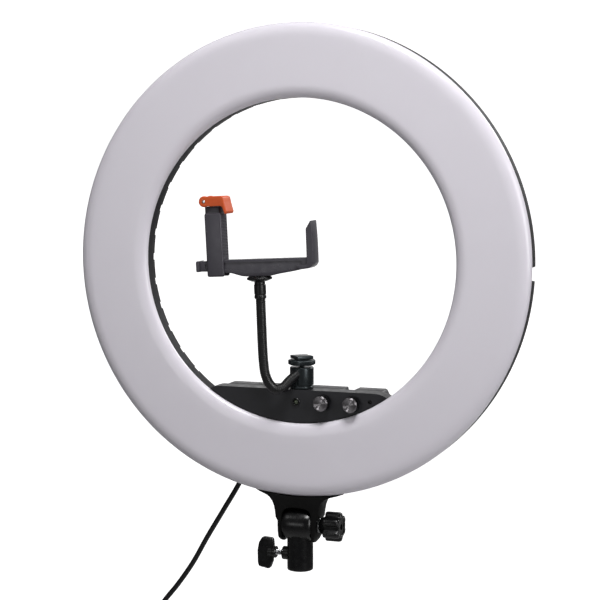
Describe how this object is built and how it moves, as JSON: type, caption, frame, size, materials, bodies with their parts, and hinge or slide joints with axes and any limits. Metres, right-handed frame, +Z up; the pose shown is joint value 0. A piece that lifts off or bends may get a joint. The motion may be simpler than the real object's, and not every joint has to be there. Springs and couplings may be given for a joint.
{
  "type": "ring light",
  "caption": "Flat annular studio light with a control box in its hole, a bendable phone clamp arm, a tilting stand socket and a mains lead.",
  "frame": {"origin": "centre of the stand socket's mouth, at its bottom face", "axes": "+Z up along the socket's axis towards the ring, the light faces -Y, +X to the right of someone facing it"},
  "size_m": [0.48, 0.0714, 0.7582],
  "materials": {
    "opal_diffuser": "satin opal acrylic, pale lilac grey when unlit",
    "housing_black": "fine textured moulded black plastic",
    "panel_charcoal": "satin charcoal moulded plastic",
    "black_plastic": "satin black moulded plastic",
    "clamp_grey": "satin dark grey moulded plastic",
    "hose_black": "black flexible metal hose",
    "black_metal": "black anodised turned metal",
    "steel": "bright zinc plated steel",
    "chrome_cap": "spun bright metal with a fine concentric lay",
    "board_white": "white solder resist with yellow LEDs",
    "spreader": "mill finish aluminium",
    "board_green": "green solder resist",
    "coil_yellow": "yellow insulating tape",
    "can_blue": "dark sleeve of an electrolytic capacitor",
    "screw_black": "black zinc screw",
    "orange_rubber": "soft orange rubber",
    "cord_rubber": "black flexible sheath",
    "brass_blade": "nickel brass blade",
    "lens": "smoked lens"
  },
  "bodies": {
    "socket": {"stand_socket": "black_plastic"},
    "head": {"diffuser": "opal_diffuser", "rear_shell": "housing_black", "heat_spreader": "spreader", "led_board": "board_white", "front_panel": "panel_charcoal", "rear_cover": "panel_charcoal", "cover_screw_1": "screw_black", "cover_screw_2": "screw_black", "cover_screw_3": "screw_black", "cover_screw_4": "screw_black", "driver_board": "board_green", "transformer": "coil_yellow", "capacitor": "can_blue", "brightness_pot": "steel", "colour_pot": "steel", "indicator_bezel": "black_plastic", "indicator_lens": "lens", "switch_bezel": "black_plastic", "cord_gland": "black_plastic", "strain_relief": "cord_rubber", "cord": "cord_rubber", "cord_coil": "cord_rubber", "plug_body": "black_plastic", "plug_blade_a": "brass_blade", "plug_blade_b": "brass_blade", "tilt_bracket": "black_plastic", "bracket_screw_1": "screw_black", "bracket_screw_2": "screw_black", "tilt_bolt": "steel", "tilt_washer": "steel"},
    "tilt_handle": {"tilt_knob": "black_plastic"},
    "lock_handle": {"lock_screw": "steel", "lock_wing": "black_plastic"},
    "brightness_dial": {"brightness_knob": "black_plastic", "brightness_cap": "chrome_cap"},
    "colour_dial": {"colour_knob": "black_plastic", "colour_cap": "chrome_cap"},
    "rocker": {"switch_rocker": "black_plastic"},
    "arm_base": {"shoe_block": "black_metal", "shoe_foot": "black_metal", "gooseneck_lower": "hose_black"},
    "shoe_ring": {"shoe_lock_ring": "black_metal"},
    "neck_middle": {"gooseneck_middle": "hose_black"},
    "neck_upper": {"gooseneck_upper": "hose_black", "top_ferrule": "black_metal"},
    "phone_clamp": {"flange_nut": "black_plastic", "clamp_body": "clamp_grey", "end_cap": "clamp_grey"},
    "jaw": {"sliding_jaw": "clamp_grey"},
    "claw_lever": {"claw": "orange_rubber", "claw_pin": "steel"}
  },
  "joints": [
    {"name": "head_tilt", "type": "hinge", "parent": "socket", "child": "head", "pos_m": [0, 0, 0.0475], "axis": [1, 0, 0], "range_deg": [-90, 90]},
    {"name": "tilt_knob_turn", "type": "hinge", "parent": "head", "child": "tilt_handle", "pos_m": [0.036, 0, 0.0475], "axis": [1, 0, 0], "range_deg": [-180, 180]},
    {"name": "stand_lock_turn", "type": "hinge", "parent": "socket", "child": "lock_handle", "pos_m": [-0.03, 0, 0.016], "axis": [1, 0, 0], "range_deg": [-180, 180]},
    {"name": "brightness_turn", "type": "hinge", "parent": "head", "child": "brightness_dial", "pos_m": [0.028, -0.02, 0.177], "axis": [0, 1, 0], "range_deg": [-140, 140]},
    {"name": "colour_turn", "type": "hinge", "parent": "head", "child": "colour_dial", "pos_m": [0.059, -0.02, 0.177], "axis": [0, 1, 0], "range_deg": [-140, 140]},
    {"name": "power_rock", "type": "hinge", "parent": "head", "child": "rocker", "pos_m": [0.048, 0.028, 0.157], "axis": [0, 0, 1], "range_deg": [-6, 6]},
    {"name": "arm_swivel", "type": "hinge", "parent": "head", "child": "arm_base", "pos_m": [0.001, 0.002, 0.2], "axis": [0, 0, 1], "range_deg": [0, 70]},
    {"name": "shoe_ring_turn", "type": "hinge", "parent": "arm_base", "child": "shoe_ring", "pos_m": [0.001, 0.002, 0.216], "axis": [0, 0, 1], "range_deg": [-180, 180]},
    {"name": "neck_sway", "type": "hinge", "parent": "arm_base", "child": "neck_middle", "pos_m": [-0.031, -0.026, 0.227], "axis": [0, 1, 0], "range_deg": [-25, 25]},
    {"name": "neck_nod", "type": "hinge", "parent": "neck_middle", "child": "neck_upper", "pos_m": [-0.0325, -0.026, 0.261], "axis": [1, 0, 0], "range_deg": [-30, 30]},
    {"name": "clamp_swivel", "type": "hinge", "parent": "neck_upper", "child": "phone_clamp", "pos_m": [-0.0343, -0.026, 0.3014], "axis": [-0.0523, 0, 0.9986], "range_deg": [-90, 90]},
    {"name": "jaw_slide", "type": "slide", "parent": "phone_clamp", "child": "jaw", "axis": [0.9986, 0, 0.0523], "range_m": [-0.008, 0.03]},
    {"name": "claw_fold", "type": "hinge", "parent": "jaw", "child": "claw_lever", "pos_m": [-0.09047, -0.026, 0.37957], "axis": [0, -1, 0], "range_deg": [0, 80]}
  ]
}
